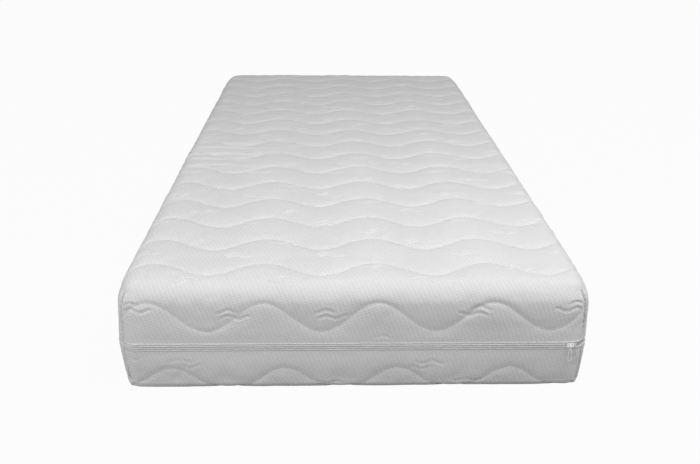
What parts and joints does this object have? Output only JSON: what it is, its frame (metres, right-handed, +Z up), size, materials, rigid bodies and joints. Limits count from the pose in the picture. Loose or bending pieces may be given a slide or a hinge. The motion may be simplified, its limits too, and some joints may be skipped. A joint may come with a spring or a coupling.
{
  "type": "pressure relief mattress",
  "caption": "Zoned foam mattress in a quilted stretch cover that unzips all round into a top and a bottom half.",
  "frame": {"origin": "middle of the underside, on the bed base", "axes": "+Z up to the lying surface, +Y along the mattress towards the head end, +X across it"},
  "size_m": [0.9337, 2.006, 0.22],
  "materials": {
    "quilted_knit": "pale grey stretch knit, quilted",
    "wadding": "white polyester wadding",
    "scrim": "thin white non-woven backing",
    "seam_fabric": "folded knit seam allowance",
    "hem_fabric": "turned and stitched knit",
    "zip_tape": "woven tape",
    "zip_teeth": "moulded coil",
    "zip_metal": "nickel plated",
    "base_foam": "firm open-cell foam",
    "bolster_foam": "firm open-cell foam",
    "soft_foam": "soft open-cell foam",
    "zone_foam": "medium open-cell foam"
  },
  "bodies": {
    "core_and_base_cover": {"bottom_cover_fabric": "quilted_knit", "bottom_cover_wadding": "wadding", "bottom_cover_scrim": "scrim", "bottom_corner_seams": "seam_fabric", "lower_hem": "hem_fabric", "lower_zip_tape": "zip_tape", "lower_zip_teeth": "zip_teeth", "lower_zip_stops": "zip_metal", "foam_base": "base_foam", "left_side_bolster": "bolster_foam", "right_side_bolster": "bolster_foam", "foam_heel_zone": "soft_foam", "foam_leg_zone": "zone_foam", "foam_seat_zone": "soft_foam", "foam_torso_zone": "zone_foam", "foam_head_zone": "soft_foam"},
    "top_cover": {"top_cover_fabric": "quilted_knit", "top_cover_wadding": "wadding", "top_cover_scrim": "scrim", "top_corner_seams": "seam_fabric", "upper_hem": "hem_fabric", "upper_zip_tape": "zip_tape", "upper_zip_teeth": "zip_teeth", "upper_zip_stops": "zip_metal"},
    "front_slider": {"front_zip_slider": "zip_metal"},
    "front_pull": {"front_zip_pull": "zip_metal"},
    "side_slider": {"side_zip_slider": "zip_metal"},
    "side_pull": {"side_zip_pull": "zip_metal"}
  },
  "joints": [
    {"name": "top_cover_lift", "type": "slide", "parent": "core_and_base_cover", "child": "top_cover", "axis": [0, 0, 1], "range_m": [0, 0.3]},
    {"name": "front_slider_travel", "type": "slide", "parent": "core_and_base_cover", "child": "front_slider", "axis": [-1, 0, 0], "range_m": [0, 0.81]},
    {"name": "front_pull_swing", "type": "hinge", "parent": "front_slider", "child": "front_pull", "pos_m": [0.41, -1.00381, 0.095], "axis": [-1, 0, 0], "range_deg": [0, 170]},
    {"name": "side_slider_travel", "type": "slide", "parent": "core_and_base_cover", "child": "side_slider", "axis": [0, 1, 0], "range_m": [0, 1.77]},
    {"name": "side_pull_swing", "type": "hinge", "parent": "side_slider", "child": "side_pull", "pos_m": [-0.45381, -0.825, 0.095], "axis": [0, 1, 0], "range_deg": [-68, 102]}
  ]
}
